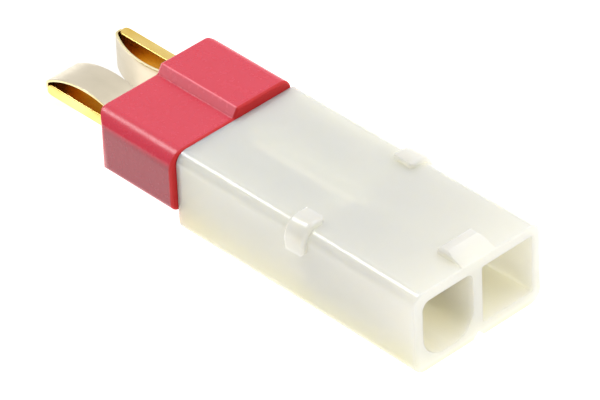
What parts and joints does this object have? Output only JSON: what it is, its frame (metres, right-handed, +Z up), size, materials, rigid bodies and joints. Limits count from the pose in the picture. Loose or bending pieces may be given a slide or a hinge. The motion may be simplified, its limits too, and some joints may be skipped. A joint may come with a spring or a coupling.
{
  "type": "battery connector adapter",
  "caption": "Compact battery adapter: a blade plug in red nylon joined straight onto a keyed socket housing in natural nylon.",
  "frame": {"origin": "middle of the footprint of the bounding box, on the surface that the adapter lies on", "axes": "+X from the blades towards the open cells, +Y towards the upright blade, +Z up"},
  "size_m": [0.0508, 0.0168, 0.0097],
  "materials": {
    "natural_nylon": "milky, slightly translucent, satin",
    "red_nylon": "smooth moulded gloss",
    "gold_plate": "bright gold plating",
    "nickel_leaf": "satin nickel plating with bare cut edges",
    "tinned_brass": "dull tin plating",
    "solder": "satin, as it set"
  },
  "bodies": {
    "root": {"socket_housing": "natural_nylon", "plug_housing": "red_nylon", "flat_blade": "gold_plate", "flat_blade_leaf": "nickel_leaf", "upright_blade": "gold_plate", "upright_blade_leaf": "nickel_leaf", "pin_round_cell": "tinned_brass", "pin_square_cell": "tinned_brass", "solder_flat_blade": "solder", "solder_upright_blade": "solder"}
  },
  "joints": []
}
